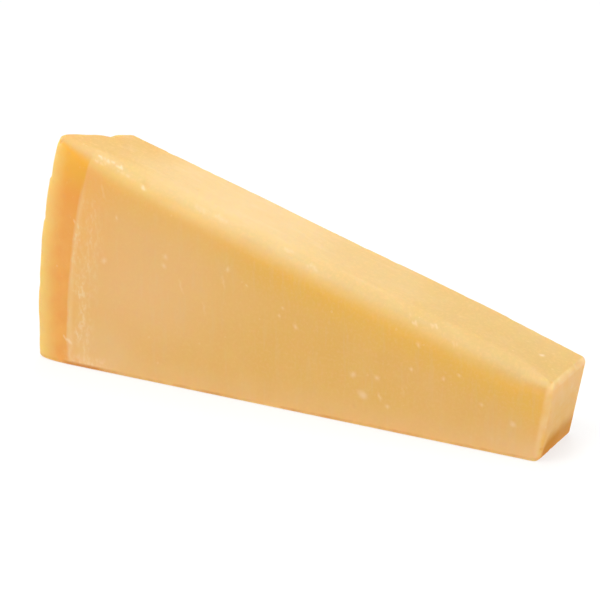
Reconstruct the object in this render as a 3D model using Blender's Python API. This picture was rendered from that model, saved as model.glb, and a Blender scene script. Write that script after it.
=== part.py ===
"""Parmesan chunk.

One solid piece of hard cheese: a thin slab of a narrow sector of a cheese
wheel, lying on one of its two radial cuts, so that it slopes down from the
rind to the cut tip.

The wheel's axis runs along Y.  The base is one radial cut (z = 0), the sloping
top is the other one, SECTOR_ANGLE further round.  The front (-Y) and the back
(+Y) are cuts across the wheel's axis, and the small end (+X) is a straight cut
square to the sector's middle line.  The end at -X is the rind: the rounded rim
of the wheel, which bulges out past the front cut and slants back to the rear
one.  Origin: middle of the bounding box, on the base.
"""
import math

import bmesh
import bpy

# ---------------------------------------------------------------- dimensions
# metres and degrees
SECTOR_ANGLE = 17.04      # between the base and the sloping top
RIND_LINE_R = 0.2091      # wheel axis to the line where front cut meets rind
TIP_R = 0.0708            # wheel axis to the tip cut, along the base

THICK_RIND = 0.0212       # front to back at the rind
THICK_TIP = 0.0231        # front to back at the tip, along the top
BACK_BULGE = 0.0012       # how far the back bows out between the two
BACK_LEAN = 0.0022        # the back leans in towards the base, at the tip

RIM_OUT_BASE = 0.0113     # how far the rim stands out of the rind line, at base
RIM_OUT_TOP = 0.0123      # and at the top
RIM_DEPTH = 0.0034        # from the front cut back to the rim's outermost line
RIM_POWER = 2.2           # fullness of the rim's rounding (2 is an ellipse)
RIND_HOLLOW = 0.10        # how much the slanting rind falls short of straight

CORNER_TIP_FRONT = 0.0017  # radii of the upright corners
CORNER_TIP_BACK = 0.0014
CORNER_RIND_BACK = 0.0016

ROUND_TOP_FRONT = 0.0064  # worn long edge between the front and the top
ROUND_TOP_FRONT_TIP = 0.0034  # the same edge at the tip
ROUND_TOP_FRONT_RIM = 0.0046  # and where it meets the rind
ROUND_TOP_RIM = 0.0019    # round the rim's outermost line
ROUND_TOP_BACK = 0.0011
ROUND_TOP_TIP = 0.0016
ROUND_BASE = 0.0008       # all round the base
ROUND_BASE_TIP = 0.0013
ROUND_RUN = 0.0100        # length over which the front edge's rounding fades
TURN_SPREAD = 0.0023      # how softly the rounded edges go round the corners

# ---------------------------------------------------------------- resolution
N_SIDE = 26               # steps along the front and along the back
N_RIM = 10                # steps round the rim
N_SLANT = 7               # steps along the slanting rind
N_CORNER = 3              # steps round each upright corner
N_TIP = 3                 # steps across the tip
N_MIDDLE = 8              # rings between the two rounded edges
N_ROUND_TOP = 7           # rings round the top edge
N_ROUND_BASE = 2          # rings round the base edge

NAME = "parmesan_chunk"

THETA = math.radians(SECTOR_ANGLE)
PASTE_LEN = RIND_LINE_R - TIP_R


def smooth(t):
    t = min(max(t, 0.0), 1.0)
    return t * t * (3.0 - 2.0 * t)


def mix(a, b, t):
    return a + (b - a) * t


def eased(i, steps):
    """Share of the way at step i, with shorter steps near both ends."""
    return 0.5 - 0.5 * math.cos(math.pi * i / steps)


def thickness(a):
    """Front to back along the top, a metres from the tip cut."""
    t = 1.0 - min(max(a / PASTE_LEN, 0.0), 1.0)      # 0 at the rind, 1 at the tip
    bow = math.sin(math.pi * t ** 1.5)
    return THICK_RIND + (THICK_TIP - THICK_RIND) * t + BACK_BULGE * bow


def arc(cx, cy, radius, start, end, steps):
    """Points on an arc, in degrees, without the last one."""
    pts = []
    for i in range(steps):
        ang = math.radians(start + (end - start) * i / steps)
        pts.append((cx + radius * math.cos(ang), cy + radius * math.sin(ang)))
    return pts


def outline():
    """The slab's closed outline seen along the sector: (a, y, rim, kind).

    a is measured from the tip cut towards the rind; rim is the share of the
    rim's stand-out that the point carries (0 on the cuts).
    """
    pts = []
    c1, c2, c3 = CORNER_TIP_FRONT, CORNER_TIP_BACK, CORNER_RIND_BACK

    for a, y in arc(c1, c1, c1, 180.0, 270.0, N_CORNER):
        pts.append((a, y, 0.0, "corner_front"))
    for i in range(N_SIDE):
        pts.append((mix(c1, PASTE_LEN, eased(i, N_SIDE)), 0.0, 0.0, "front"))

    for i in range(N_RIM):
        g = 0.5 * math.pi * i / N_RIM
        share = math.sin(g) ** (2.0 / RIM_POWER)
        y = RIM_DEPTH * (1.0 - math.cos(g) ** (2.0 / RIM_POWER))
        pts.append((PASTE_LEN, y, share, "rim"))

    back = thickness(PASTE_LEN)
    lean = math.atan2(RIM_OUT_BASE, back - RIM_DEPTH)
    cut = c3 * math.tan(0.25 * math.pi - 0.5 * lean)   # corner's run along back
    run = cut / (back - RIM_DEPTH)
    for i in range(N_SLANT):
        t = (1.0 - run) * i / N_SLANT
        share = 1.0 - t - RIND_HOLLOW * t * (1.0 - t)
        pts.append((PASTE_LEN, RIM_DEPTH + (back - RIM_DEPTH) * t, share, "slant"))

    t = 1.0 - run
    p0 = (RIM_OUT_BASE * (1.0 - t - RIND_HOLLOW * t * (1.0 - t)),
          RIM_DEPTH + (back - RIM_DEPTH) * t)
    p2 = (-cut, back)
    for i in range(N_CORNER):
        t = i / N_CORNER
        u = (1.0 - t) ** 2 * p0[0] + t * t * p2[0]
        y = (1.0 - t) ** 2 * p0[1] + 2.0 * t * (1.0 - t) * back + t * t * p2[1]
        if u > 0.0:
            pts.append((PASTE_LEN, y, u / RIM_OUT_BASE, "slant"))
        else:
            pts.append((PASTE_LEN + u, y, 0.0, "corner_rind"))

    a0 = PASTE_LEN - cut
    for i in range(N_SIDE):
        a = mix(a0, c2, eased(i, N_SIDE))
        pts.append((a, thickness(a), 0.0, "back"))
    edge = thickness(0.0)
    for a, y in arc(c2, edge - c2, c2, 90.0, 180.0, N_CORNER):
        pts.append((a, y, 0.0, "corner_back"))
    for i in range(N_TIP):
        t = i / N_TIP
        pts.append((0.0, edge - c2 + (c1 - edge + c2) * t, 0.0, "tip"))
    return pts


def inward(pts):
    """Vectors (a, y) into the slab at each outline point.

    They turn softly round the tight corners, over about TURN_SPREAD to each
    side, so that the rounded edges don't run into themselves there.
    """
    flat = [(a + RIM_OUT_BASE * s, y) for a, y, s, _ in pts]
    n = len(flat)
    along = [0.0]
    steps = []
    for i in range(n):
        dx = flat[(i + 1) % n][0] - flat[i][0]
        dy = flat[(i + 1) % n][1] - flat[i][1]
        steps.append((dx, dy, math.hypot(dx, dy)))
        along.append(along[-1] + steps[-1][2])
    total = along[-1]
    out = []
    for i in range(n):
        tx, ty = 0.0, 0.0
        for k, (dx, dy, length) in enumerate(steps):
            share = 0.0
            for turn in (-total, 0.0, total):
                start = along[k] + turn - along[i]
                share += math.erf((start + length) / TURN_SPREAD / math.sqrt(2.0))
                share -= math.erf(start / TURN_SPREAD / math.sqrt(2.0))
            tx += share * dx / length
            ty += share * dy / length
        size = math.hypot(tx, ty)
        out.append((-ty / size, tx / size))
    return out


def rounding(pt, top):
    """Radius of the rounded top (or base) edge at an outline point."""
    a, y, share, kind = pt
    if not top:
        if kind in ("tip", "corner_back"):
            return ROUND_BASE_TIP
        return ROUND_BASE
    if kind == "front":
        from_tip = smooth((a - CORNER_TIP_FRONT) / ROUND_RUN)
        from_rim = smooth((PASTE_LEN - a) / ROUND_RUN)
        return mix(ROUND_TOP_FRONT_TIP, mix(ROUND_TOP_FRONT_RIM, ROUND_TOP_FRONT, from_rim), from_tip)
    if kind == "corner_front":
        return mix(ROUND_TOP_TIP, ROUND_TOP_FRONT_TIP, 1.0 - y / CORNER_TIP_FRONT)
    if kind == "rim":
        return mix(ROUND_TOP_FRONT_RIM, ROUND_TOP_RIM, share)
    if kind == "slant":
        return mix(ROUND_TOP_RIM, ROUND_TOP_BACK, smooth((1.0 - share) / 0.35))
    if kind in ("back", "corner_rind"):
        return ROUND_TOP_BACK
    return ROUND_TOP_TIP


def place(pt, inset, direction, phi):
    """Outline point, moved in by inset, at angle phi above the base."""
    a, y, share, kind = pt
    rise = phi / THETA
    rim = (RIM_OUT_BASE + (RIM_OUT_TOP - RIM_OUT_BASE) * rise) * share
    tip = TIP_R * math.cos(0.5 * THETA) / math.cos(phi - 0.5 * THETA)
    a = a + direction[0] * inset
    y = y + direction[1] * inset
    r = tip + (RIND_LINE_R - tip) * a / PASTE_LEN + rim
    near_tip = 1.0 - min(max(a / PASTE_LEN, 0.0), 1.0)
    y *= 1.0 - (BACK_LEAN / THICK_TIP) * near_tip * (1.0 - rise)
    return (-r * math.cos(phi), y, r * math.sin(phi))


def radius_at(pt, phi):
    x, _, z = place(pt, 0.0, (0.0, 0.0), phi)
    return math.hypot(x, z)


def rings():
    """Rings of points from the base to the top."""
    pts = outline()
    dirs = inward(pts)
    out = []
    for i in range(N_ROUND_BASE):
        beta = 0.5 * math.pi * (1.0 - i / N_ROUND_BASE)
        ring = []
        for pt, d in zip(pts, dirs):
            rho = rounding(pt, False)
            phi = math.asin(rho * (1.0 - math.sin(beta)) / radius_at(pt, 0.0))
            ring.append(place(pt, rho * (1.0 - math.cos(beta)), d, phi))
        out.append(ring)
    for i in range(N_MIDDLE + 1):
        t = i / N_MIDDLE
        ring = []
        for pt, d in zip(pts, dirs):
            low = math.asin(rounding(pt, False) / radius_at(pt, 0.0))
            high = THETA - math.asin(rounding(pt, True) / radius_at(pt, THETA))
            ring.append(place(pt, 0.0, d, low + (high - low) * t))
        out.append(ring)
    for i in range(1, N_ROUND_TOP + 1):
        beta = 0.5 * math.pi * i / N_ROUND_TOP
        ring = []
        for pt, d in zip(pts, dirs):
            rho = rounding(pt, True)
            phi = THETA - math.asin(rho * (1.0 - math.sin(beta)) / radius_at(pt, THETA))
            ring.append(place(pt, rho * (1.0 - math.cos(beta)), d, phi))
        out.append(ring)
    return out


def build_mesh():
    levels = rings()
    xs = [p[0] for ring in levels for p in ring]
    ys = [p[1] for ring in levels for p in ring]
    cx = 0.5 * (min(xs) + max(xs))
    cy = 0.5 * (min(ys) + max(ys))

    bm = bmesh.new()
    grid = [[bm.verts.new((x - cx, y - cy, z)) for x, y, z in ring] for ring in levels]
    n = len(grid[0])
    for low, high in zip(grid, grid[1:]):
        for i in range(n):
            j = (i + 1) % n
            bm.faces.new((low[j], low[i], high[i], high[j]))
    base = bm.faces.new(grid[0])
    top = bm.faces.new(list(reversed(grid[-1])))
    bmesh.ops.triangulate(bm, faces=[base, top])
    bmesh.ops.recalc_face_normals(bm, faces=bm.faces)
    mesh = bpy.data.meshes.new(NAME)
    bm.to_mesh(mesh)
    bm.free()
    return mesh


def paste_material():
    mat = bpy.data.materials.new("cheese_paste")
    mat.use_nodes = True
    bsdf = mat.node_tree.nodes["Principled BSDF"]
    bsdf.inputs["Base Color"].default_value = (0.83, 0.55, 0.22, 1.0)
    bsdf.inputs["Roughness"].default_value = 0.5
    bsdf.inputs["Metallic"].default_value = 0.0
    return mat


def main():
    for obj in list(bpy.data.objects):
        bpy.data.objects.remove(obj)
    mesh = build_mesh()
    mesh.materials.append(paste_material())
    mesh.shade_smooth()
    mesh.set_sharp_from_angle(angle=math.radians(30.0))
    obj = bpy.data.objects.new(NAME, mesh)
    bpy.context.scene.collection.objects.link(obj)


main()
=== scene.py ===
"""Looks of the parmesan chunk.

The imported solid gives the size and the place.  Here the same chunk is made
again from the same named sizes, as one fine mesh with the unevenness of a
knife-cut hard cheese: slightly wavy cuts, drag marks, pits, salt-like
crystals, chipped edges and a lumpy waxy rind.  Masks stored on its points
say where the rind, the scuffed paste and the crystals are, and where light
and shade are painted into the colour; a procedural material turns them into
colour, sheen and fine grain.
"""
import math

import bpy
import numpy as np
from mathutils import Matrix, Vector, kdtree


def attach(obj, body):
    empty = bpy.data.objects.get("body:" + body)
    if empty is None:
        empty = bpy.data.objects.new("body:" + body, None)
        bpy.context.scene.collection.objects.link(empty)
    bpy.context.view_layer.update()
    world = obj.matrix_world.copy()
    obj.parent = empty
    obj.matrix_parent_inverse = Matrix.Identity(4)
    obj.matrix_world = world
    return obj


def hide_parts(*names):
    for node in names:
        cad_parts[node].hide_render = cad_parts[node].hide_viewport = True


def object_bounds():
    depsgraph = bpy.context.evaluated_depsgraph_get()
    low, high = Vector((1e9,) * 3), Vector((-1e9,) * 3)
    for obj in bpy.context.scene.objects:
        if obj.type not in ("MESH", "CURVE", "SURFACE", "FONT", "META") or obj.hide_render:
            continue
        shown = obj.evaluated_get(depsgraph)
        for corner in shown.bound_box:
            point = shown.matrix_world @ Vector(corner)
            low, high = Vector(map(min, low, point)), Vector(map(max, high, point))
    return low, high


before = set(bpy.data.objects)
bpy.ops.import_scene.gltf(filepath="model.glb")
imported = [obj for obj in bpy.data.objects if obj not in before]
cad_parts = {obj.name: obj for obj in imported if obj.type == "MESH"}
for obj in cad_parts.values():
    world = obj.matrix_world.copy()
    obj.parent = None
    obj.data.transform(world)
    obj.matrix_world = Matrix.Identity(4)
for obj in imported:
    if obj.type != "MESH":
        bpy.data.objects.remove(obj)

NODE = "parmesan_chunk"
CAD_LO, CAD_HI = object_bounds()
MM = 0.001

# ------------------------------------------------------------------ the sizes
THETA = math.radians(17.04)     # between the base and the sloping top
RIND_LINE_R = 0.2091            # wheel axis to the line where front cut meets rind
TIP_R = 0.0708                  # wheel axis to the tip cut, along the base
PASTE_LEN = RIND_LINE_R - TIP_R

THICK_RIND = 0.0212
THICK_TIP = 0.0231
BACK_BULGE = 0.0012
BACK_LEAN = 0.0022

RIM_OUT_BASE = 0.0113
RIM_OUT_TOP = 0.0123
RIM_DEPTH = 0.0034
RIM_POWER = 2.2
RIND_HOLLOW = 0.10

CORNER_TIP_FRONT = 0.0017
CORNER_TIP_BACK = 0.0014
CORNER_RIND_BACK = 0.0016

ROUND_TOP_FRONT = 0.0064        # worn long edge between the front and the top
ROUND_TOP_FRONT_TIP = 0.0034    # the same edge at the tip
ROUND_TOP_FRONT_RIM = 0.0046    # and where it meets the rind
ROUND_TOP_RIM = 0.0019          # round the rim's outermost line
ROUND_TOP_BACK = 0.0011
ROUND_TOP_TIP = 0.0016
ROUND_BASE = 0.0008
ROUND_BASE_TIP = 0.0013
ROUND_RUN = 0.0100
TURN_SPREAD = 0.0023            # how softly the rounded edges go round the corners

# steps of the fine mesh
N_LONG = 270                    # along the front, and along the back
N_SHORT = 44                    # round the rind, and across the tip
N_BASE_ROUND = 5
N_MIDDLE = 86
N_TOP_ROUND = 18


def smooth(t):
    t = np.clip(t, 0.0, 1.0)
    return t * t * (3.0 - 2.0 * t)


def mix(a, b, t):
    return a + (b - a) * t


# ------------------------------------------------------------------ the noise
def lattice(ix, iy, iz, seed):
    """A repeatable number between -1 and 1 for each lattice point."""
    h = (ix * 374761393 + iy * 668265263 + iz * 1274126177 + seed * 144665) & 0xFFFFFFFF
    h = ((h ^ (h >> 13)) * 1274126177) & 0xFFFFFFFF
    h = ((h ^ (h >> 16)) * 668265263) & 0xFFFFFFFF
    h = (h ^ (h >> 15)) & 0xFFFFFFFF
    return h / 2147483647.5 - 1.0


def noise(p, size, seed, stretch=(1.0, 1.0, 1.0)):
    """Gradient noise, about -1 to 1, with features of the given size in metres."""
    q = p / (size * np.asarray(stretch)) + 97.3
    cell = np.floor(q).astype(np.int64)
    f = q - cell
    w = f * f * f * (f * (f * 6.0 - 15.0) + 10.0)
    total = np.zeros(len(p))
    for dx in (0, 1):
        for dy in (0, 1):
            for dz in (0, 1):
                ix, iy, iz = cell[:, 0] + dx, cell[:, 1] + dy, cell[:, 2] + dz
                dot = (lattice(ix, iy, iz, seed) * (f[:, 0] - dx)
                       + lattice(ix, iy, iz, seed + 101) * (f[:, 1] - dy)
                       + lattice(ix, iy, iz, seed + 202) * (f[:, 2] - dz))
                wx = w[:, 0] if dx else 1.0 - w[:, 0]
                wy = w[:, 1] if dy else 1.0 - w[:, 1]
                wz = w[:, 2] if dz else 1.0 - w[:, 2]
                total += dot * wx * wy * wz
    return total * 1.6


def layered(p, size, seed, octaves=3, stretch=(1.0, 1.0, 1.0)):
    total, gain = np.zeros(len(p)), 1.0
    for k in range(octaves):
        total += gain * noise(p, size * 0.5 ** k, seed + 17 * k, stretch)
        gain *= 0.5
    return total


# ---------------------------------------------------------------- the outline
def thickness(a):
    t = 1.0 - np.clip(a / PASTE_LEN, 0.0, 1.0)
    return THICK_RIND + (THICK_TIP - THICK_RIND) * t + BACK_BULGE * np.sin(math.pi * t ** 1.5)


def arc(cx, cy, radius, start, end, steps):
    ang = np.radians(np.linspace(start, end, steps))
    return cx + radius * np.cos(ang), cy + radius * np.sin(ang)


def outline_chains():
    """The slab's outline, seen along the sector, as four chains of points.

    Each point is (a, y, share, top radius, base radius, around); a runs from
    the tip cut towards the rind, share is the part of the rim's stand-out that
    the point carries, around is how far it has gone round the rim.
    """
    c1, c2, c3 = CORNER_TIP_FRONT, CORNER_TIP_BACK, CORNER_RIND_BACK
    parts = []

    def add(a, y, share, top, base, around=0.0):
        cols = [np.broadcast_to(np.asarray(v, float), a.shape) for v in (a, y, share, top, base, around)]
        parts.append(np.stack(cols, axis=1))

    a, y = arc(c1, c1, c1, 180.0, 270.0, 60)
    t = 1.0 - y / c1
    add(a, y, 0.0, mix(ROUND_TOP_TIP, ROUND_TOP_FRONT_TIP, t), mix(ROUND_BASE_TIP, ROUND_BASE, t))
    a = np.linspace(c1, PASTE_LEN, 1400)
    from_tip = smooth((a - c1) / ROUND_RUN)
    from_rim = smooth((PASTE_LEN - a) / ROUND_RUN)
    top = mix(ROUND_TOP_FRONT_TIP, mix(ROUND_TOP_FRONT_RIM, ROUND_TOP_FRONT, from_rim), from_tip)
    add(a, 0.0 * a, 0.0, top, ROUND_BASE)

    g = np.linspace(0.0, 0.5 * math.pi, 420)
    share = np.sin(g) ** (2.0 / RIM_POWER)
    depth = RIM_DEPTH * (1.0 - np.cos(g) ** (2.0 / RIM_POWER))
    add(PASTE_LEN + 0.0 * g, depth, share, mix(ROUND_TOP_FRONT_RIM, ROUND_TOP_RIM, share), ROUND_BASE, share)

    back = float(thickness(np.array(PASTE_LEN)))
    lean = math.atan2(RIM_OUT_BASE, back - RIM_DEPTH)
    cut = c3 * math.tan(0.25 * math.pi - 0.5 * lean)
    run = cut / (back - RIM_DEPTH)
    t = np.linspace(0.0, 1.0 - run, 400)
    share = 1.0 - t - RIND_HOLLOW * t * (1.0 - t)
    add(PASTE_LEN + 0.0 * t, RIM_DEPTH + (back - RIM_DEPTH) * t, share,
        mix(ROUND_TOP_RIM, ROUND_TOP_BACK, smooth(t / 0.35)), ROUND_BASE, 1.0)

    t0 = 1.0 - run
    p0 = (RIM_OUT_BASE * (1.0 - t0 - RIND_HOLLOW * t0 * (1.0 - t0)), RIM_DEPTH + (back - RIM_DEPTH) * t0)
    t = np.linspace(0.0, 1.0, 60)
    u = (1.0 - t) ** 2 * p0[0] - t * t * cut
    y = (1.0 - t) ** 2 * p0[1] + 2.0 * t * (1.0 - t) * back + t * t * back
    add(PASTE_LEN + np.minimum(u, 0.0), y, np.maximum(u, 0.0) / RIM_OUT_BASE, ROUND_TOP_BACK, ROUND_BASE, 1.0 - t)

    a = np.linspace(PASTE_LEN - cut, c2, 1400)
    add(a, thickness(a), 0.0, ROUND_TOP_BACK, ROUND_BASE)
    edge = float(thickness(np.array(0.0)))
    a, y = arc(c2, edge - c2, c2, 90.0, 180.0, 60)
    t = smooth((edge - y) / c2)
    add(a, y, 0.0, mix(ROUND_TOP_BACK, ROUND_TOP_TIP, t), mix(ROUND_BASE, ROUND_BASE_TIP, t))
    y = np.linspace(edge - c2, c1, 240)
    add(0.0 * y, y, 0.0, ROUND_TOP_TIP, ROUND_BASE_TIP)

    sizes = [len(p) for p in parts]
    starts = np.concatenate(([0], np.cumsum(sizes)))
    pts = np.concatenate(parts)
    corners = [
        starts[0] + sizes[0] // 2,                   # tip, front
        starts[2] + int(0.62 * sizes[2]),            # rim, where it turns away
        starts[4] + sizes[4] // 2,                   # rind, back
        starts[6] + sizes[6] // 2,                   # tip, back
    ]
    pts = np.roll(pts, -corners[0], axis=0)
    corners = [c - corners[0] for c in corners] + [len(pts)]
    pts = np.concatenate((pts, pts[:1]))
    return [pts[corners[k]:corners[k + 1] + 1] for k in range(4)]


def resample(chain, count):
    """count points along a chain, without its last one, closer where it bends."""
    flat = np.stack((chain[:, 0] + RIM_OUT_BASE * chain[:, 2], chain[:, 1]), axis=1)
    step = np.linalg.norm(np.diff(flat, axis=0), axis=1)
    keep = np.concatenate(([True], step > 1e-9))
    chain, flat = chain[keep], flat[keep]
    seg = np.diff(flat, axis=0)
    step = np.linalg.norm(seg, axis=1)
    ang = np.unwrap(np.arctan2(seg[:, 1], seg[:, 0]))
    mid = np.concatenate(([0.0], np.cumsum(step)))
    centre = 0.5 * (mid[1:] + mid[:-1])
    bend = np.abs(np.interp(centre + 0.0012, centre, ang) - np.interp(centre - 0.0012, centre, ang))
    weight = step * (1.0 + 1.1 * bend)
    along = np.concatenate(([0.0], np.cumsum(weight)))
    want = np.linspace(0.0, along[-1], count + 1)[:-1]
    return np.stack([np.interp(want, along, chain[:, c]) for c in range(chain.shape[1])], axis=1)


def inward(pts):
    """Vectors (a, y) into the slab, which turn softly round the tight bends."""
    flat = np.stack((pts[:, 0] + RIM_OUT_BASE * pts[:, 2], pts[:, 1]), axis=1)
    step = np.roll(flat, -1, axis=0) - flat
    length = np.linalg.norm(step, axis=1)
    tangent = step / length[:, None]
    along = np.concatenate(([0.0], np.cumsum(length)))[:-1]
    total = length.sum()
    middle = along + 0.5 * length
    gap = along[:, None] - middle[None, :]
    gap -= total * np.round(gap / total)
    weight = np.exp(-0.5 * (gap / TURN_SPREAD) ** 2) * length[None, :]
    tangent = weight @ tangent
    tangent /= np.linalg.norm(tangent, axis=1)[:, None]
    return np.stack((-tangent[:, 1], tangent[:, 0]), axis=1)


def place(pts, inset, dirs, phi):
    """Points of the outline, moved in by inset, at angle phi above the base."""
    a, y, share = pts[:, 0], pts[:, 1], pts[:, 2]
    rise = phi / THETA
    rim = mix(RIM_OUT_BASE, RIM_OUT_TOP, rise) * share
    tip = TIP_R * math.cos(0.5 * THETA) / np.cos(phi - 0.5 * THETA)
    a = a + dirs[:, 0] * inset
    y = y + dirs[:, 1] * inset
    r = tip + (RIND_LINE_R - tip) * a / PASTE_LEN + rim
    near_tip = 1.0 - np.clip(a / PASTE_LEN, 0.0, 1.0)
    y = y * (1.0 - (BACK_LEAN / THICK_TIP) * near_tip * (1.0 - rise))
    return np.stack((-r * np.cos(phi), y, r * np.sin(phi)), axis=1)


def patch(edges):
    """A grid of points that fills a four-sided outline evenly, edges included."""
    front, rind, back, tip = edges       # front: tip to rind, back: rind to tip, and so on
    n, m = len(front) - 1, len(rind) - 1
    low, high = front, back[::-1]        # both from the tip to the rind
    left, right = tip[::-1], rind        # both from the front to the back
    u = np.linspace(0.0, 1.0, n + 1)[:, None, None]
    v = np.linspace(0.0, 1.0, m + 1)[None, :, None]
    grid = ((1.0 - v) * low[:, None, :] + v * high[:, None, :]
            + (1.0 - u) * left[None, :, :] + u * right[None, :, :]
            - (1.0 - u) * (1.0 - v) * low[0] - u * (1.0 - v) * low[-1]
            - (1.0 - u) * v * high[0] - u * v * high[-1])
    # relax the inner points until each lies in the middle of its neighbours
    i, j = np.indices((n - 1, m - 1))
    for turn in range(420):
        colour = (i + j) % 2 == turn % 2
        mean = 0.25 * (grid[:-2, 1:-1] + grid[2:, 1:-1] + grid[1:-1, :-2] + grid[1:-1, 2:])
        inner = grid[1:-1, 1:-1]
        grid[1:-1, 1:-1] = np.where(colour[..., None], inner + 1.86 * (mean - inner), inner)
    return grid


def build_surface():
    """Points and faces; for each point its turn onto the top, onto the base and round the rim."""
    counts = (N_LONG, N_SHORT, N_LONG, N_SHORT)
    pts = np.concatenate([resample(c, n) for c, n in zip(outline_chains(), counts)])
    dirs = inward(pts)
    top_r, base_r = pts[:, 3], pts[:, 4]
    zero = np.zeros(len(pts))
    r_base = np.linalg.norm(place(pts, zero, dirs, zero)[:, (0, 2)], axis=1)
    r_top = np.linalg.norm(place(pts, zero, dirs, zero + THETA)[:, (0, 2)], axis=1)

    rings, onto_top, onto_base = [], [], []
    for i in range(N_BASE_ROUND):
        beta = 0.5 * math.pi * (1.0 - i / N_BASE_ROUND)
        phi = np.arcsin(base_r * (1.0 - math.sin(beta)) / r_base)
        rings.append(place(pts, base_r * (1.0 - math.cos(beta)), dirs, phi))
        onto_top.append(0.0)
        onto_base.append(beta / (0.5 * math.pi))
    low = np.arcsin(base_r / r_base)
    high = THETA - np.arcsin(top_r / r_top)
    for i in range(N_MIDDLE + 1):
        rings.append(place(pts, zero, dirs, mix(low, high, i / N_MIDDLE)))
        onto_top.append(0.0)
        onto_base.append(0.0)
    for i in range(1, N_TOP_ROUND + 1):
        beta = 0.5 * math.pi * i / N_TOP_ROUND
        phi = THETA - np.arcsin(top_r * (1.0 - math.sin(beta)) / r_top)
        rings.append(place(pts, top_r * (1.0 - math.cos(beta)), dirs, phi))
        onto_top.append(beta / (0.5 * math.pi))
        onto_base.append(0.0)

    loop = len(pts)
    n_ring = len(rings)
    co = [np.concatenate(rings)]
    turned_top = [np.repeat(onto_top, loop)]
    turned_base = [np.repeat(onto_base, loop)]
    turned_rim = [np.tile(pts[:, 5], n_ring)]
    index = np.arange(n_ring * loop).reshape(n_ring, loop)
    quads = []
    nxt = np.roll(index, -1, axis=1)
    side = np.stack((index[:-1], index[1:], nxt[1:], nxt[:-1]), axis=-1)
    quads.append(side.reshape(-1, 4))

    start = n_ring * loop
    marks = np.concatenate(([0], np.cumsum(counts)))
    for which, ring in (("base", 0), ("top", n_ring - 1)):
        line = np.concatenate((index[ring], index[ring][:1]))
        edges = [rings[ring][line[marks[k]:marks[k + 1] + 1] - index[ring][0]] for k in range(4)]
        inner = patch(edges)[1:-1, 1:-1]
        rows, cols = inner.shape[:2]
        grid = np.zeros((rows + 2, cols + 2), np.int64)
        grid[1:-1, 1:-1] = start + np.arange(rows * cols).reshape(rows, cols)
        ids = [line[marks[k]:marks[k + 1] + 1] for k in range(4)]
        grid[:, 0] = ids[0]
        grid[-1, :] = ids[1]
        grid[:, -1] = ids[2][::-1]
        grid[0, :] = ids[3][::-1]
        q = np.stack((grid[:-1, :-1], grid[1:, :-1], grid[1:, 1:], grid[:-1, 1:]), axis=-1).reshape(-1, 4)
        quads.append(q if which == "base" else q[:, ::-1])
        co.append(inner.reshape(-1, 3))
        turned_top.append(np.full(rows * cols, 1.0 if which == "top" else 0.0))
        turned_base.append(np.full(rows * cols, 1.0 if which == "base" else 0.0))
        turned_rim.append(np.zeros(rows * cols))
        start += rows * cols
    return (np.concatenate(co), np.concatenate(quads), np.concatenate(turned_top),
            np.concatenate(turned_base), np.concatenate(turned_rim))


def normals(co, quads):
    d1 = co[quads[:, 2]] - co[quads[:, 0]]
    d2 = co[quads[:, 3]] - co[quads[:, 1]]
    face = np.cross(d1, d2)
    out = np.zeros_like(co)
    for k in range(4):
        np.add.at(out, quads[:, k], face)
    return out / np.linalg.norm(out, axis=1)[:, None]


# ----------------------------------------------------------------- the chunk
co, quads, on_top, on_base, around = build_surface()
nrm = normals(co, quads)
inside = co.mean(axis=0)
if np.sum(nrm * (co - inside)) < 0.0:
    quads = quads[:, ::-1].copy()
    nrm = -nrm

# The wheel's axis is the origin up to here: remember each point's place in
# the wheel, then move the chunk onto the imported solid.
radius = np.hypot(co[:, 0], co[:, 2])
angle = np.arctan2(co[:, 2], -co[:, 0])
rise = angle / THETA                            # 0 on the base, 1 on the top
depth = co[:, 1].copy()                         # behind the front cut
height = co[:, 2].copy()
shift = np.array([
    0.5 * (CAD_LO.x + CAD_HI.x) - 0.5 * (co[:, 0].min() + co[:, 0].max()),
    0.5 * (CAD_LO.y + CAD_HI.y) - 0.5 * (co[:, 1].min() + co[:, 1].max()),
    CAD_LO.z,
])
co = co + shift

past_line = radius - RIND_LINE_R                # beyond the line where the rind starts
facing_front = smooth((-nrm[:, 1] - 0.55) / 0.35)
facing_back = smooth((nrm[:, 1] - 0.75) / 0.2)
facing_tip = smooth((nrm[:, 0] - 0.6) / 0.3)
side = 1.0 - smooth((on_top - 0.06) / 0.55) - smooth((on_base - 0.35) / 0.5)
side = np.clip(side, 0.0, 1.0)

line_wobble = 0.35 * MM * noise(co, 6.0 * MM, 11) + 0.15 * MM * noise(co, 1.6 * MM, 12)
skin = smooth((past_line + line_wobble + 0.25 * MM) / (0.5 * MM)) * (1.0 - facing_back)
rind = skin * side

# distance from the rind over the cut faces
rind_points = kdtree.KDTree(int(np.sum(rind > 0.9)))
for i in np.flatnonzero(rind > 0.9):
    rind_points.insert(co[i], int(i))
rind_points.balance()
from_rind = np.array([rind_points.find(p)[2] for p in co])
under_rind = np.exp(-from_rind / (5.5 * MM)) * (1.0 - rind) * (1.0 - smooth((on_top - 0.05) / 0.25))


def scatter(count, seed, where, low, high):
    """Seeded random places on the surface: (point index, size in metres)."""
    rng = np.random.default_rng(seed)
    weight = np.clip(where, 0.0, None)
    picks = rng.choice(len(co), size=count, replace=False, p=weight / weight.sum())
    sizes = low + (high - low) * rng.random(count) ** 2.0
    return list(zip(picks.tolist(), sizes.tolist()))


all_points = kdtree.KDTree(len(co))
for i, p in enumerate(co):
    all_points.insert(p, i)
all_points.balance()


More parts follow.
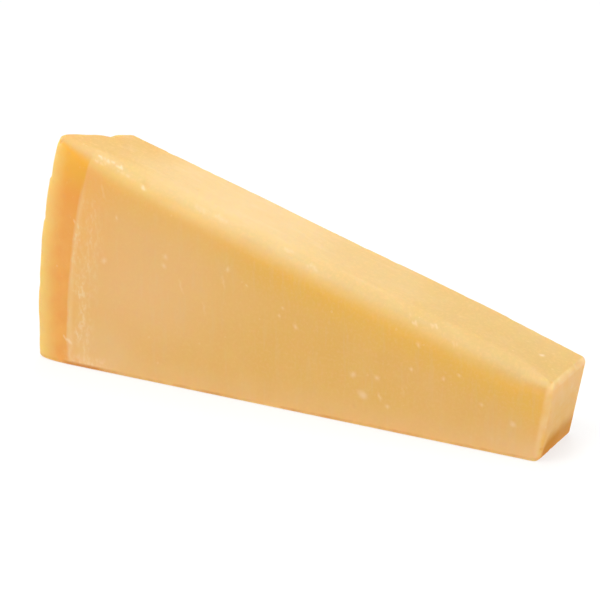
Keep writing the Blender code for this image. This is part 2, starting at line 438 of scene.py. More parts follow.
def stamp(field, centre, size, strength=1.0, seed=0, lumpy=0.35, inner=0.3):
    """Raises field round a place, by a soft uneven blob of the given radius."""
    found = all_points.find_range(centre, size * 1.9)
    if not found:
        return
    ids = np.array([f[1] for f in found])
    dist = np.linalg.norm(co[ids] - np.array(centre), axis=1)
    reach = size * (1.0 + lumpy * noise(co[ids], size * 1.1, 300 + seed))
    value = strength * (1.0 - smooth((dist / reach - inner) / (1.2 - inner)))
    field[ids] = np.maximum(field[ids], value)


def nearest(x, y, z):
    return all_points.find((x, y, z))[0]


# crystals that stand out on the front cut: (x, z, radius) in millimetres
front_y = -0.5 * (CAD_HI.y - CAD_LO.y)
crystals = np.zeros(len(co))
FRONT_CRYSTALS = (
    (-52.5, 32.1, 0.75), (-33.2, 36.4, 0.65), (-34.0, 33.8, 0.60), (-14.7, 35.9, 0.65),
    (-48.1, 44.7, 0.45), (-9.4, 32.5, 0.40), (0.7, 26.1, 0.45), (1.5, 28.5, 0.40),
    (5.2, 23.9, 0.65), (21.6, 13.8, 0.75), (28.8, 14.3, 0.70), (24.7, 8.6, 1.15),
    (31.9, 7.0, 0.55), (40.2, 25.4, 0.60), (51.5, 19.3, 0.50), (47.4, 17.3, 0.55),
    (66.3, 9.0, 0.70), (57.7, 12.5, 0.45), (38.4, 18.3, 0.45), (-61.5, 42.0, 0.35),
)
for k, (x, z, r) in enumerate(FRONT_CRYSTALS):
    stamp(crystals, nearest(x * MM, front_y, z * MM), 1.35 * r * MM, 0.8, k, 0.5, 0.0)
# short upright or slanting flecks left by the knife
FRONT_FLECKS = ((-16.0, 32.3, 0.45, 3.2, 0.45), (-28.9, 28.9, 0.40, 3.6, 0.40), (29.4, 9.2, 0.45, 1.6, 0.7),
                (-52.1, 51.4, 0.45, 3.2, 0.35), (-22.0, 24.0, 0.40, 3.0, 0.30), (36.0, 12.0, 0.45, 2.6, 0.30))
for k, (x, z, r, long, strength) in enumerate(FRONT_FLECKS):
    for s in np.linspace(-0.5, 0.5, 7):
        stamp(crystals, nearest((x + 0.25 * long * s) * MM, front_y, (z - long * s) * MM), r * MM,
              strength * (1.0 - abs(s)), 40 + k, 0.35, 0.2)

# pale chips and spots on the sloping top and its worn edge, each a short run of
# uneven dabs: (x, y, z, radius, length along the edge, strength)
chips = np.zeros(len(co))
TOP_CHIPS = (
    (-53.6, -9.8, 60.5, 0.55, 1.6, 0.60), (-50.9, -9.6, 59.5, 0.60, 2.0, 0.80), (-48.2, -9.2, 58.3, 0.45, 1.4, 0.55),
    (-53.2, -11.3, 59.3, 0.50, 2.4, 0.45), (-46.6, -10.4, 57.0, 0.60, 3.0, 0.30), (-40.4, -10.8, 54.1, 0.60, 0.8, 0.75),
    (1.5, -8.1, 43.0, 0.80, 2.0, 0.35), (43.2, -9.2, 30.2, 0.60, 1.2, 0.40), (38.5, -10.4, 30.2, 0.50, 1.0, 0.40),
    (49.5, -10.8, 26.6, 0.60, 1.0, 0.35), (68.1, 0.9, 23.4, 0.65, 0.5, 0.60), (-18.0, -9.2, 48.8, 1.00, 3.0, 0.35),
    (-24.0, -9.6, 50.4, 0.90, 2.5, 0.28), (9.0, -9.4, 40.2, 0.90, 3.0, 0.25),
)
for k, (x, y, z, r, long, strength) in enumerate(TOP_CHIPS):
    for j, t in enumerate(np.linspace(-0.5, 0.5, 5)):
        wander = 0.30 * math.sin(2.3 * k + 1.7 * j)
        stamp(chips, nearest((x + long * t) * MM, (y + wander) * MM, (z - 0.306 * long * t) * MM),
              r * (1.0 - 0.9 * t * t) * MM, strength * (1.0 - 0.5 * abs(math.sin(5.1 * k + 2.9 * j))), 60 + 7 * k + j,
              0.6, 0.0)

# crystals at seeded random places: fewer and smaller, on every cut face
away = 1.0 - rind
for i, r in scatter(120, 5, away, 0.30 * MM, 0.75 * MM):
    if co[i][2] > 1.0 * MM:
        hidden = 1.0 - 0.75 * facing_front[i] - 0.45 * on_top[i]
        stamp(crystals, co[i], r, 0.50 * hidden, i, 0.5, 0.0)

# pits: shallow holes where a crystal or a crumb has dropped out
pits = np.zeros(len(co))
for i, r in scatter(46, 9, away * (1.0 - 0.9 * facing_front) * (1.0 - 0.7 * on_top), 0.30 * MM, 0.8 * MM):
    if co[i][2] > 1.5 * MM:
        stamp(pits, co[i], r, 0.9, i, 0.5)
for i, r in scatter(48, 10, rind, 0.25 * MM, 0.8 * MM):
    if co[i][2] > 1.5 * MM:
        stamp(pits, co[i], r, 0.7, i, 0.6)
DIMPLE = (-39.9, -10.2, 54.6)
stamp(pits, nearest(*(v * MM for v in DIMPLE)), 1.5 * MM, 0.7, 3)

# the scuffed paste along the rind line on the front
band = past_line * -1.0
mottle = smooth(0.55 + 0.80 * layered(co, 5.0 * MM, 21, 2, (0.75, 1.0, 1.8)))
scuff = facing_front * (1.0 - rind) * smooth((11.0 * MM - band) / (9.0 * MM)) * mottle
scuff *= 1.0 - smooth((rise - 0.64) / 0.24)
line_width = mix(1.5, 0.7, np.clip(rise, 0.0, 1.0)) * MM
edge_line = (facing_front * smooth((band + 0.35 * MM) / (0.3 * MM))
             * (1.0 - smooth((band - 0.55 * line_width + 0.9 * line_wobble) / (0.9 * line_width))))
edge_line *= smooth((0.90 - rise) / 0.14)
edge_line *= np.clip(0.78 + 0.35 * layered(co, 5.0 * MM, 31, 2), 0.0, 1.0)
notch = np.zeros(len(co))
for s in np.linspace(0.0, 1.0, 6):
    stamp(notch, nearest((-65.8 + 2.0 * s) * MM, front_y, (7.9 - 1.3 * s) * MM), (0.35 + 0.20 * s) * MM, 0.9, 80, 0.4, 0.0)

# worn, paler arrises of the tip
slant_x = shift[0] - (TIP_R * math.cos(0.5 * THETA) / np.cos(angle - 0.5 * THETA)) * np.cos(angle)
from_tip = np.maximum(slant_x - co[:, 0], 0.0)
corner_dist = np.hypot(from_tip, depth)
tip_front = 1.0 - smooth((corner_dist - 0.9 * MM) / (1.2 * MM))
tip_top = (1.0 - smooth((np.abs(on_top - 0.45) - 0.2) / 0.4)) * smooth((nrm[:, 0] - 0.25) / 0.35)
worn = np.maximum(tip_front * (1.0 - on_base) * mix(0.55, 1.0, smooth((height - 3.0 * MM) / (7.0 * MM))), tip_top)
worn *= np.clip(0.75 + 0.45 * layered(co, 4.0 * MM, 41, 2), 0.0, 1.0)

# painted shade: the foot of the tip is painted dark, most of all near the front edge
foot_shade_top = (3.6 + 0.5 * noise(co, 4.0 * MM, 51)) * MM * mix(0.5, 1.0, smooth((depth - 1.0 * MM) / (4.5 * MM)))
painted_foot_shade = 1.0 - smooth((height - foot_shade_top) / (1.2 * foot_shade_top))
painted_foot_shade *= (1.0 - smooth((from_tip - 0.9 * MM) / (1.0 * MM))) * smooth((depth - 0.9 * MM) / (1.6 * MM))
painted_foot_shade *= mix(1.0, 0.84, smooth((depth - 8.0 * MM) / (6.0 * MM)))
# painted light: the far edge of the tip is painted brighter and more golden, where light comes through
painted_tip_glow = (1.0 - smooth((from_tip - 1.0 * MM) / (1.2 * MM))) * smooth((depth - (THICK_TIP - 2.6 * MM)) / (1.8 * MM))
painted_tip_glow *= 1.0 - smooth((on_top - 0.2) / 0.5)
# pale crumbs and a painted contact shadow along the lower edge of the front and the rind
painted_contact_shade = 1.0 - smooth((height - 0.65 * MM) / (0.60 * MM + 0.30 * MM * noise(co, 1.8 * MM, 56)))
painted_contact_shade *= smooth((-nrm[:, 1] - nrm[:, 2]) / 0.5) * (1.0 - (on_base > 0.99))
near_rind_foot = smooth((co[:, 0] + 67.5 * MM) / (3.0 * MM)) * (1.0 - smooth((co[:, 0] + 56.0 * MM) / (8.0 * MM)))
painted_contact_shade *= np.clip(0.30 + 0.35 * layered(co, 3.0 * MM, 52, 2) + 0.75 * near_rind_foot, 0.0, 1.0)
# painted shade: the tip face is painted darker and redder towards its bottom
tip_low_shade = facing_tip * (1.0 - smooth((height - 8.0 * MM) / (9.0 * MM)))
# pale crumbs near the rind's foot
crumbs = facing_front * near_rind_foot * smooth((height - 0.7 * MM) / (0.6 * MM)) * (1.0 - smooth((height - 2.2 * MM) / (3.0 * MM)))
crumbs *= np.clip(0.60 + 0.8 * layered(co, 1.8 * MM, 58, 2), 0.0, 1.0)
# slow changes of tone over the cut faces; several of them are painted light: sheen on the front and the top, a glow and
# a sheen under the long edge, light bounced onto the low front
# partly painted sheen: the pale patch on the left of the front is painted sheen; the code also pales the front's right
# end and adds a slow random tone
front_tone_and_sheen = facing_front * np.exp(-(((co[:, 0] + 44 * MM) / (26 * MM)) ** 2 + ((co[:, 2] - 28 * MM) / (24 * MM)) ** 2))
front_tone_and_sheen += 0.22 * facing_front * smooth((co[:, 0] - 25 * MM) / (25 * MM))
front_tone_and_sheen = np.clip(front_tone_and_sheen + 0.25 * noise(co, 24 * MM, 53) * (1.0 - rind), 0.0, 1.0)
along_top = radius - TIP_R
# painted sheen: a pale lobe along the middle of the top cut, with a little noise
painted_top_sheen = np.exp(-((along_top - 96 * MM) / (34 * MM)) ** 2)
painted_top_sheen = np.clip(painted_top_sheen + 0.22 * layered(co, 16 * MM, 54, 2, (1.6, 1.0, 1.6)), 0.0, 1.0)
below_edge = radius * np.sin(THETA - angle)
# painted glow: the front just under the long edge is painted more golden, for light coming through the rounded edge
painted_edge_glow = facing_front * smooth((below_edge - 1.2 * MM) / (3.0 * MM)) * (1.0 - smooth((below_edge - 6.0 * MM) / (10.0 * MM)))
painted_edge_glow *= mix(0.95, 0.40, smooth((along_top - 72 * MM) / (25 * MM)))
# painted sheen: a paler band round the turn of the long edge, for light reflected there
painted_edge_sheen = np.exp(-((below_edge - 2.7 * MM) / (1.9 * MM)) ** 2) * smooth((-nrm[:, 1] - 0.15) / 0.5) * (1.0 - skin)
painted_edge_sheen *= np.interp(along_top / MM, (10, 22, 45, 70, 85, 100, 120), (0.0, 0.58, 0.50, 0.36, 0.36, 0.65, 0.95))
# painted light: the low front, most at its left, is painted paler, for light bounced up from the table
leftward = smooth((-38 * MM - co[:, 0]) / (15 * MM))
painted_low_bounce = facing_front * (1.0 - smooth((height - mix(1.0, 3.0, leftward) * MM) / (mix(9.0, 17.0, leftward) * MM)))
painted_low_bounce *= 0.62 + 0.38 * leftward + 0.30 * smooth((co[:, 0] - 55 * MM) / (12 * MM))
painted_low_bounce *= np.clip(0.85 + 0.3 * layered(co, 9.0 * MM, 57, 2), 0.0, 1.0)
blush = facing_front * np.exp(-(from_rind / (9.0 * MM)) ** 2) * smooth((rise - 0.40) / 0.28) * (1.0 - rind)
crown = skin * (1.0 - rind) * (1.0 - smooth((on_top - 0.80) / 0.2))
outer_face = rind * smooth((depth - 4.0 * MM) / (5.0 * MM))
warm_top = on_top * (1.0 - smooth((from_rind - 5.0 * MM) / (17.0 * MM)))

# ------------------------------------------------------------------- relief
cut_face = 1.0 - rind
lift = 0.15 * MM * noise(co, 46 * MM, 1) + 0.06 * MM * noise(co, 17 * MM, 2)
lift += cut_face * 0.014 * MM * layered(co, 2.2 * MM, 3, 3)
# drag marks of the knife: long along the chunk on the top, steeper on the front
lift += cut_face * on_top * 0.018 * MM * noise(co, 2.4 * MM, 4, (12.0, 1.0, 12.0))
lift += cut_face * facing_front * 0.016 * MM * noise(co, 3.0 * MM, 5, (1.0, 6.0, 8.0))
lift += cut_face * facing_back * 0.020 * MM * noise(co, 3.0 * MM, 6, (5.0, 6.0, 1.0))
lift += rind * (0.20 * MM * noise(co, 11 * MM, 7, (1.0, 1.0, 0.8)) + 0.06 * MM * layered(co, 3.2 * MM, 8, 3))
lift += 0.03 * MM * crystals + 0.04 * MM * chips
lift -= 0.26 * MM * pits * (1.0 - 0.4 * rind)
lift += 0.06 * MM * scuff * noise(co, 1.3 * MM, 13) + 0.05 * MM * edge_line
# the long worn edge wanders a little
shoulder = np.maximum(1.0 - np.abs(on_top * 2.0 - 0.8), 0.0) * smooth((-nrm[:, 1] - 0.1) / 0.4)
lift += shoulder * (0.22 * MM * noise(co, 15 * MM, 16) + 0.07 * MM * noise(co, 5 * MM, 17))

# the chunk is a touch short of its solid, and its foot is worn at the tip's front corner
lift -= 0.10 * MM * facing_front + 0.24 * MM * rind * (1.0 - facing_front)
lift -= 0.55 * MM * np.exp(-(corner_dist / (1.6 * MM)) ** 2) * (1.0 - smooth(height / (2.8 * MM)))

# chipped arrises: the edges lose a little, here and there
arris = np.maximum(1.0 - np.abs(on_top * 2.0 - 1.0), 0.0) * (on_top > 0.0)
arris = np.maximum(arris, worn * 0.45)
nibble = smooth((noise(co, 3.4 * MM, 14) - 0.15) / 0.55)
lift -= 0.26 * MM * arris * nibble * (1.0 - 0.8 * smooth((-nrm[:, 1] - 0.1) / 0.3)) * (1.0 - 0.8 * around)
base_arris = np.maximum(1.0 - np.abs(on_base * 2.0 - 1.0), 0.0) * (on_base > 0.0)
lift -= 0.18 * MM * base_arris * smooth((noise(co, 2.4 * MM, 15) - 0.05) / 0.5)

flat_base = smooth((height - 0.15 * MM) / (1.2 * MM))
move = nrm * lift[:, None]
move[:, 2] *= flat_base
move[on_base >= 0.999] = 0.0
co = co + move

# the top cut waves a little along its length
wave = (-0.28 * np.exp(-((co[:, 0] - 5 * MM) / (16 * MM)) ** 2)
        + 0.16 * np.exp(-((co[:, 0] - 50 * MM) / (14 * MM)) ** 2)) * MM
co[:, 2] += wave * smooth((rise - 0.5) / 0.5)

# dips where the top breaks off at the rind
across = np.clip((depth - RIM_DEPTH) / (THICK_RIND - RIM_DEPTH), 0.0, 1.0)
share = 1.0 - across - RIND_HOLLOW * across * (1.0 - across)
to_skin = np.maximum(RIND_LINE_R + RIM_OUT_TOP * share - radius, 0.0)
to_top = np.maximum((THETA - angle) * radius, 0.0)
near_break = np.exp(-(to_skin / (2.4 * MM)) ** 2 - (to_top / (1.8 * MM)) ** 2)
for y, deep, wide in ((1.5, 0.95, 1.5), (9.3, 0.22, 1.8), (14.9, 0.60, 1.2), (13.2, 0.25, 2.0)):
    co[:, 2] -= deep * MM * np.exp(-((depth - y * MM) / (wide * MM)) ** 2) * near_break

# the rind's outermost upper corner is knocked off
knock = np.exp(-np.sum(((co - np.array((-67.0, -9.8, 63.6)) * MM) / (1.6 * MM)) ** 2, axis=1))
co += knock[:, None] * np.array((0.30, 0.15, -1.05)) * MM

# nicks in the rind's outer line: shallow above, ending in a small step
rim_zone = skin * smooth((past_line - 6.0 * MM) / (3.0 * MM))
for z, deep, above, below in ((52.4, 0.40, 4.0, 0.5), (40.3, 0.36, 2.2, 0.6), (21.0, 0.18, 1.6, 1.6)):
    dz = (co[:, 2] - z * MM) / MM
    bump = deep * MM * np.where(dz > 0.0, np.exp(-dz / above), np.exp(-(dz / below) ** 2)) * rim_zone
    co[:, 0] += bump
co[:, 2] = np.maximum(co[:, 2], 0.0)

mesh = bpy.data.meshes.new("cheese_wedge")
mesh.from_pydata(co.tolist(), [], quads.tolist())
mesh.update()
mesh.shade_smooth()
for name, values in (("rind", rind), ("rim_turn", around * rind), ("under_rind", under_rind), ("scuff", scuff),
                     ("edge_line", edge_line), ("crystals", crystals), ("chips", chips), ("pits", pits),
                     ("worn", worn), ("notch", notch), ("painted_foot_shade", painted_foot_shade), ("painted_contact_shade", painted_contact_shade), ("front_tone_and_sheen", front_tone_and_sheen),
                     ("painted_top_sheen", painted_top_sheen), ("on_top", on_top), ("rise", rise), ("tip", facing_tip),
                     ("painted_edge_glow", painted_edge_glow), ("painted_low_bounce", painted_low_bounce), ("blush", blush), ("warm_top", warm_top),
                     ("painted_tip_glow", painted_tip_glow), ("painted_edge_sheen", painted_edge_sheen), ("crumbs", crumbs),
                     ("tip_low_shade", tip_low_shade), ("crown", crown), ("outer_face", outer_face)):
    layer = mesh.attributes.new(name, "FLOAT", "POINT")
    layer.data.foreach_set("value", np.clip(values, 0.0, 1.0).astype(np.float32))

cheese = bpy.data.objects.new("cheese_wedge", mesh)
bpy.context.scene.collection.objects.link(cheese)


# ---------------------------------------------------------------- the material
class Nodes:
    """A little help to write node trees."""

    def __init__(self, name):
        self.mat = bpy.data.materials.new(name)
        self.mat.use_nodes = True
        self.tree = self.mat.node_tree
        self.tree.nodes.clear()

    def add(self, kind, **settings):
        node = self.tree.nodes.new(kind)
        for key, value in settings.items():
            setattr(node, key, value)
        return node

    def link(self, a, b):
        self.tree.links.new(a, b)

    def put(self, socket, value):
        if isinstance(value, bpy.types.NodeSocket):
            self.link(value, socket)
        else:
            socket.default_value = value

    def math(self, op, a, b=0.0, c=None, clamp=False):
        node = self.add("ShaderNodeMath", operation=op, use_clamp=clamp)
        self.put(node.inputs[0], a)
        self.put(node.inputs[1], b)
        if c is not None:
            self.put(node.inputs[2], c)
        return node.outputs[0]

    def mask(self, name):
        return self.add("ShaderNodeAttribute", attribute_name=name).outputs["Fac"]

    def coords(self, scale=(1.0, 1.0, 1.0)):
        tex = self.add("ShaderNodeTexCoord")
        mapping = self.add("ShaderNodeMapping")
        mapping.inputs["Scale"].default_value = scale
        self.link(tex.outputs["Object"], mapping.inputs["Vector"])
        return mapping.outputs["Vector"]

    def noise(self, size, detail=2.0, rough=0.5, vector=None):
        node = self.add("ShaderNodeTexNoise")
        node.inputs["Scale"].default_value = 1.0 / size
        node.inputs["Detail"].default_value = detail
        node.inputs["Roughness"].default_value = rough
        self.link(vector if vector is not None else self.coords(), node.inputs["Vector"])
        return node.outputs["Fac"]

    def step(self, value, low, high, smoothly=True):
        node = self.add("ShaderNodeMapRange")
        node.interpolation_type = "SMOOTHSTEP" if smoothly else "LINEAR"
        node.inputs["From Min"].default_value = low
        node.inputs["From Max"].default_value = high
        self.put(node.inputs["Value"], value)
        return node.outputs["Result"]

    def blend(self, fac, a, b):
        node = self.add("ShaderNodeMix", data_type="RGBA")
        self.put(node.inputs["Factor"], fac)
        self.put(node.inputs[6], a)
        self.put(node.inputs[7], b)
        return node.outputs[2]


# base colours; some of them paint light or shade, as the notes beside them say
PASTE_FRONT = ((0.715, 0.418, 0.093, 1.0), (0.728, 0.434, 0.108, 1.0))
# painted sheen: the top cut's paste, paler and less red than the front's
PASTE_TOP_LIT = ((0.605, 0.395, 0.124, 1.0), (0.615, 0.405, 0.134, 1.0))
# painted sheen on the middle of the top cut
PASTE_TOP_SHEEN = (0.680, 0.478, 0.218, 1.0)
PASTE_TIP = (0.800, 0.438, 0.080, 1.0)
# painted glow under the long edge
PASTE_EDGE_GLOW = (0.740, 0.436, 0.068, 1.0)
# painted sheen round the long edge
PASTE_EDGE_SHEEN = (0.715, 0.490, 0.158, 1.0)
# painted sheen over the turn of the long edge
PASTE_TURN_SHEEN = (0.562, 0.418, 0.152, 1.0)
# painted bounce light on the low front
PASTE_LOW_BOUNCE = (0.750, 0.484, 0.202, 1.0)
PASTE_BLUSH = (0.800, 0.387, 0.081, 1.0)
PASTE_TOP_WARM = (0.605, 0.376, 0.100, 1.0)
# painted light through the tip's far edge
PAINTED_TIP_GLOW = (0.820, 0.470, 0.070, 1.0)
# painted shade on the low tip face
TIP_LOW_SHADE = (0.780, 0.388, 0.030, 1.0)
SMEAR = (0.700, 0.510, 0.265, 1.0)
CROWN = (0.590, 0.368, 0.105, 1.0)
PASTE_GRAIN = (0.780, 0.500, 0.190, 1.0)
PASTE_NEAR_RIND = (0.790, 0.430, 0.110, 1.0)
# partly painted sheen: the paler tone on the front
FRONT_TONE_AND_SHEEN = (0.760, 0.460, 0.180, 1.0)
PALE = (0.800, 0.580, 0.300, 1.0)
SALT = (0.830, 0.612, 0.355, 1.0)
CHIP = (0.845, 0.680, 0.480, 1.0)
NOTCH = (0.900, 0.780, 0.540, 1.0)
PIT = (0.690, 0.380, 0.100, 1.0)
# painted shade at the tip's foot
FOOT_SHADE = (0.580, 0.212, 0.010, 1.0)
# painted contact shadow along the lower edges
CONTACT_SHADE = (0.520, 0.200, 0.020, 1.0)
LINE = (0.800, 0.540, 0.260, 1.0)
SKIN_INNER = ((0.765, 0.355, 0.064, 1.0), (0.790, 0.385, 0.076, 1.0))
SKIN_OUTER = (0.762, 0.512, 0.128, 1.0)
SKIN_BACK = ((0.770, 0.440, 0.105, 1.0), (0.740, 0.500, 0.150, 1.0))
SKIN_UPPER = (0.775, 0.405, 0.030, 1.0)
SKIN_BLUSH = (0.780, 0.335, 0.048, 1.0)
SKIN_SPECK = (0.800, 0.490, 0.170, 1.0)


def cheese_material():
    n = Nodes("hard_cheese")
    bsdf = n.add("ShaderNodeBsdfPrincipled")
    out = n.add("ShaderNodeOutputMaterial")
    n.link(bsdf.outputs["BSDF"], out.inputs["Surface"])

    # paste: two near tones in soft patches; the top cut's paste is a little paler and less red, which is painted sheen
    patchy = n.step(n.noise(14 * MM, 3.0, 0.55), 0.35, 0.65)
    front = n.blend(patchy, *PASTE_FRONT)
    # partly painted sheen: paler patches on the front
    front = n.blend(n.mask("front_tone_and_sheen"), front, FRONT_TONE_AND_SHEEN)
    # painted bounce light on the low front
    front = n.blend(n.mask("painted_low_bounce"), front, PASTE_LOW_BOUNCE)
    # painted glow under the long edge
    front = n.blend(n.mask("painted_edge_glow"), front, PASTE_EDGE_GLOW)
    front = n.blend(n.math("MULTIPLY", n.mask("blush"), 0.65), front, PASTE_BLUSH)
    # painted sheen: the top cut paler along its middle
    top = n.blend(n.mask("painted_top_sheen"), n.blend(patchy, *PASTE_TOP_LIT), PASTE_TOP_SHEEN)
    top = n.blend(n.mask("warm_top"), top, PASTE_TOP_WARM)
    paste = n.blend(n.step(n.mask("on_top"), 0.04, 0.50), front, top)
    # painted sheen round the long edge
    paste = n.blend(n.mask("painted_edge_sheen"), paste, PASTE_EDGE_SHEEN)
    # painted sheen: over the turn of the long edge, a shade less red than the two faces beside it
    turn = n.math("MULTIPLY", n.step(n.mask("on_top"), 0.34, 0.66), n.math("SUBTRACT", 1.0, n.mask("on_top")))
    paste = n.blend(n.math("MULTIPLY", turn, 1.5, clamp=True), paste, PASTE_TURN_SHEEN)
    # creamy smears dragged along the top and over its worn edge, stronger within the top's painted sheen, fainter
    # upright ones on the front
    drag = n.noise(2.4 * MM, 3.0, 0.6, n.coords((0.22, 1.0, 0.5)))
    smear = n.math("MULTIPLY", n.step(drag, 0.50, 0.70), n.math("MULTIPLY_ADD", n.mask("painted_top_sheen"), 0.30, 0.12))
    smear = n.math("MULTIPLY", smear, n.math("MAXIMUM", n.mask("on_top"), n.mask("painted_edge_sheen")))
    paste = n.blend(smear, paste, SMEAR)
    upright = n.noise(1.8 * MM, 2.0, 0.6, n.coords((1.0, 1.0, 0.16)))
    upright = n.math("MULTIPLY", n.step(upright, 0.52, 0.72), n.math("SUBTRACT", 1.0, n.mask("on_top")))
    paste = n.blend(n.math("MULTIPLY", upright, 0.14), paste, SMEAR)
    tip = n.math("MULTIPLY", n.mask("tip"), n.math("SUBTRACT", 1.0, n.mask("on_top")))
    paste = n.blend(tip, paste, PASTE_TIP)
    # painted shade on the low tip face
    paste = n.blend(n.mask("tip_low_shade"), paste, TIP_LOW_SHADE)
    # painted light through the tip's far edge
    paste = n.blend(n.math("MULTIPLY", n.mask("painted_tip_glow"), 0.8), paste, PAINTED_TIP_GLOW)
    grain = n.noise(0.9 * MM, 3.0, 0.6)
    paste = n.blend(n.math("MULTIPLY", n.step(grain, 0.42, 0.75), 0.3), paste, PASTE_GRAIN)
    paste = n.blend(n.math("MULTIPLY", n.mask("under_rind"), 0.75), paste, PASTE_NEAR_RIND)

    # rind: waxy, amber beside the cut and straw-coloured on its outer line, mottled
    blotch = n.noise(6 * MM, 4.0, 0.55)
    skin = n.blend(n.step(blotch, 0.3, 0.7), *SKIN_INNER)
    high = n.math("MULTIPLY", n.step(n.mask("rise"), 0.62, 0.80), n.step(blotch, 0.15, 0.5))
    skin = n.blend(high, skin, SKIN_BLUSH)
    skin = n.blend(n.step(n.mask("rise"), 0.74, 0.94), skin, SKIN_UPPER)
    turned = n.math("MULTIPLY_ADD", n.math("SUBTRACT", blotch, 0.5), 0.30, n.mask("rim_turn"))
    turned = n.math("MULTIPLY_ADD", n.math("SUBTRACT", 0.7, n.mask("rise")), 0.22, turned)
    skin = n.blend(n.step(turned, 0.34, 0.96), skin, SKIN_OUTER)
    speckle = n.noise(0.7 * MM, 2.0, 0.6)
    aged = n.blend(n.step(n.noise(9 * MM, 4.0, 0.6), 0.36, 0.62), *SKIN_BACK)
    skin = n.blend(n.math("MULTIPLY", n.mask("outer_face"), 0.85), skin, aged)
    skin = n.blend(n.math("MULTIPLY", n.step(speckle, 0.62, 0.80), 0.4), skin, SKIN_SPECK)
    paste = n.blend(n.math("MULTIPLY", n.mask("crown"), 0.60), paste, CROWN)
    colour = n.blend(n.mask("rind"), paste, skin)

    # pale places: scuffs, the light line beside the rind, worn arrises
    flakes = n.noise(1.3 * MM, 3.0, 0.6, n.coords((1.3, 1.0, 0.7)))
    flakes = n.math("MULTIPLY_ADD", n.step(flakes, 0.44, 0.64), 0.80, 0.20)
    colour = n.blend(n.math("MULTIPLY", n.mask("scuff"), flakes), colour, PALE)
    colour = n.blend(n.math("MULTIPLY", n.mask("crumbs"), n.math("ADD", flakes, 0.25, clamp=True)), colour, PALE)
    colour = n.blend(n.math("MULTIPLY", n.mask("edge_line"), 0.50), colour, LINE)
    colour = n.blend(n.math("MULTIPLY", n.mask("worn"), 0.85), colour, PALE)

    # crystals: the ones with a place, and a sprinkle of very fine ones
    cells = n.add("ShaderNodeTexVoronoi", feature="F1")
    cells.inputs["Scale"].default_value = 1.0 / (2.6 * MM)
    n.link(n.coords(), cells.inputs["Vector"])
    pick = n.add("ShaderNodeSeparateColor")
    n.link(cells.outputs["Color"], pick.inputs["Color"])
    radius_of = n.math("MULTIPLY", n.step(pick.outputs["Red"], 0.80, 1.0, False), 0.16)
    dots = n.math("LESS_THAN", cells.outputs["Distance"], radius_of)
    colour = n.blend(n.math("MULTIPLY", dots, 0.20), colour, SALT)
    colour = n.blend(n.math("MULTIPLY", n.mask("crystals"), 0.80), colour, SALT)
    colour = n.blend(n.mask("chips"), colour, CHIP)
    colour = n.blend(n.math("MULTIPLY", n.mask("notch"), 0.42), colour, NOTCH)
    colour = n.blend(n.math("MULTIPLY", n.mask("pits"), 0.35), colour, PIT)
    # painted contact shadow along the lower edges
    colour = n.blend(n.math("MULTIPLY", n.mask("painted_contact_shade"), 0.90), colour, CONTACT_SHADE)
    # painted shade at the tip's foot
    colour = n.blend(n.math("MULTIPLY", n.mask("painted_foot_shade"), 0.95), colour, FOOT_SHADE)
    n.link(colour, bsdf.inputs["Base Color"])

    # sheen: waxy, a little patchy, drier on the scuffs and crystals
    gloss = n.noise(5 * MM, 3.0, 0.6)
    rough = n.math("MULTIPLY_ADD", gloss, 0.22, 0.36)
    rough = n.math("MULTIPLY_ADD", n.mask("scuff"), 0.12, rough)
    rough = n.math("MULTIPLY_ADD", n.mask("crystals"), 0.15, rough, True)
    n.link(rough, bsdf.inputs["Roughness"])
    shine = n.math("MULTIPLY_ADD", n.mask("tip_low_shade"), -0.18, 0.5)
    n.link(n.math("MULTIPLY_ADD", n.mask("painted_foot_shade"), -0.27, shine, True), bsdf.inputs["Specular IOR Level"])

    # grain finer than the mesh
    fine = n.noise(0.55 * MM, 4.0, 0.6)
    bump = n.add("ShaderNodeBump")
    bump.inputs["Strength"].default_value = 0.20
    bump.inputs["Distance"].default_value = 0.00012
    n.link(fine, bump.inputs["Height"])
    n.link(bump.outputs["Normal"], bsdf.inputs["Normal"])

    bsdf.inputs["IOR"].default_value = 1.45
    bsdf.inputs["Metallic"].default_value = 0.0
    bsdf.subsurface_method = "RANDOM_WALK"
    bsdf.inputs["Subsurface Weight"].default_value = 1.0
    bsdf.inputs["Subsurface Radius"].default_value = (1.0, 0.55, 0.20)
    bsdf.inputs["Subsurface Scale"].default_value = 0.0050
    return n.mat


cheese.data.materials.append(cheese_material())
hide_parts(NODE)
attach(cheese, "root")

# -------------------------------------------------------------------- the set
scene = bpy.context.scene
scene.view_settings.view_transform = "Standard"

floor_mesh = bpy.data.meshes.new("table")
half = 12.0
floor_mesh.from_pydata([(-half, -half, 0.0), (half, -half, 0.0), (half, half, 0.0), (-half, half, 0.0)],
                       [], [(0, 1, 2, 3)])
floor = bpy.data.objects.new("table", floor_mesh)
scene.collection.objects.link(floor)
floor.location.z = -0.0001
table = Nodes("white_table")
table_bsdf = table.add("ShaderNodeBsdfPrincipled")
table_out = table.add("ShaderNodeOutputMaterial")
table.link(table_bsdf.outputs["BSDF"], table_out.inputs["Surface"])
table_bsdf.inputs["Base Color"].default_value = (0.22, 0.22, 0.218, 1.0)
table_bsdf.inputs["Roughness"].default_value = 0.7
table_bsdf.inputs["Emission Color"].default_value = (1.0, 1.0, 1.0, 1.0)
# away from the lamps the table glows more, so that it stays white to its end
reach = table.add("ShaderNodeVectorMath", operation="LENGTH")
table.link(table.add("ShaderNodeTexCoord").outputs["Object"], reach.inputs[0])
far = table.step(reach.outputs["Value"], 0.55, 1.60)
table.link(table.math("MULTIPLY_ADD", far, 0.32, 0.72), table_bsdf.inputs["Emission Strength"])
floor.data.materials.append(table.mat)

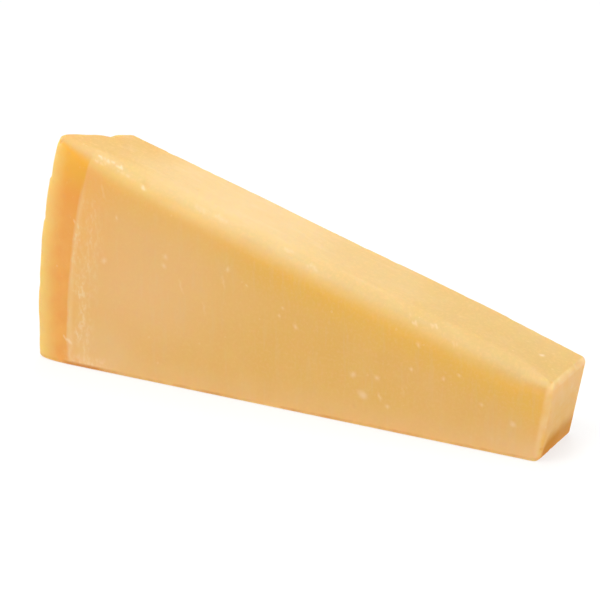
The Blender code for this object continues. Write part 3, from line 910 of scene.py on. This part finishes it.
# the room: pale low down, where it is the backdrop, dimmer half way up, pale overhead
ROOM_LOW, ROOM_MID, ROOM_HIGH = 1.0, 0.36, 0.30
world = bpy.data.worlds.new("studio")
world.use_nodes = True
sky = world.node_tree
where = sky.nodes.new("ShaderNodeTexCoord")
split = sky.nodes.new("ShaderNodeSeparateXYZ")
sky.links.new(where.outputs["Generated"], split.inputs["Vector"])
bands = []
for start, end, low, high in ((0.10, 0.22, ROOM_LOW, ROOM_MID), (0.55, 0.80, 0.0, ROOM_HIGH - ROOM_MID)):
    band = sky.nodes.new("ShaderNodeMapRange")
    band.interpolation_type = "SMOOTHSTEP"
    for key, value in (("From Min", start), ("From Max", end), ("To Min", low), ("To Max", high)):
        band.inputs[key].default_value = value
    sky.links.new(split.outputs["Z"], band.inputs["Value"])
    bands.append(band.outputs["Result"])
total = sky.nodes.new("ShaderNodeMath")
total.operation = "ADD"
sky.links.new(bands[0], total.inputs[0])
sky.links.new(bands[1], total.inputs[1])
sky.links.new(total.outputs[0], sky.nodes["Background"].inputs["Strength"])
sky.nodes["Background"].inputs["Color"].default_value = (1.0, 1.0, 1.0, 1.0)
scene.world = world


def soft_light(name, place_at, aim, size, power):
    light = bpy.data.lights.new(name, "AREA")
    light.shape = "DISK"
    light.size = size
    light.energy = power
    obj = bpy.data.objects.new(name, light)
    scene.collection.objects.link(obj)
    obj.location = place_at
    obj.rotation_euler = (Vector(aim) - Vector(place_at)).to_track_quat("-Z", "Y").to_euler()
    return obj


def around_chunk(azimuth, elevation, distance=1.35):
    """A place round the chunk; azimuth is from straight behind it towards the tip."""
    a, e = math.radians(azimuth), math.radians(elevation)
    return (math.sin(a) * math.cos(e) * distance, math.cos(a) * math.cos(e) * distance,
            0.03 + math.sin(e) * distance)


MIDDLE = (0.0, 0.0, 0.03)
soft_light("key", around_chunk(-150, 62), MIDDLE, 0.7, 5.6)
soft_light("overhead", around_chunk(180, 72), MIDDLE, 0.7, 4.6)
soft_light("front_right", around_chunk(150, 55), MIDDLE, 0.8, 2.0)
soft_light("front_left", around_chunk(-135, 40), MIDDLE, 0.8, 1.6)
soft_light("left", around_chunk(-90, 35), MIDDLE, 0.9, 2.0)
soft_light("right", around_chunk(90, 50), MIDDLE, 0.9, 3.4)
soft_light("back", around_chunk(-12, 48), MIDDLE, 0.6, 3.0)
soft_light("back_high", around_chunk(-12, 78), MIDDLE, 0.6, 4.0)

cam_data = bpy.data.cameras.new("camera")
cam_data.lens = 150.0
cam_data.sensor_width = 36.0
cam = bpy.data.objects.new("camera", cam_data)
scene.collection.objects.link(cam)
cam.location = (0.28904, -0.53822, 0.25222)
cam.rotation_euler = (math.radians(90.0 - 20.288), 0.0, math.radians(28.22))
scene.camera = cam
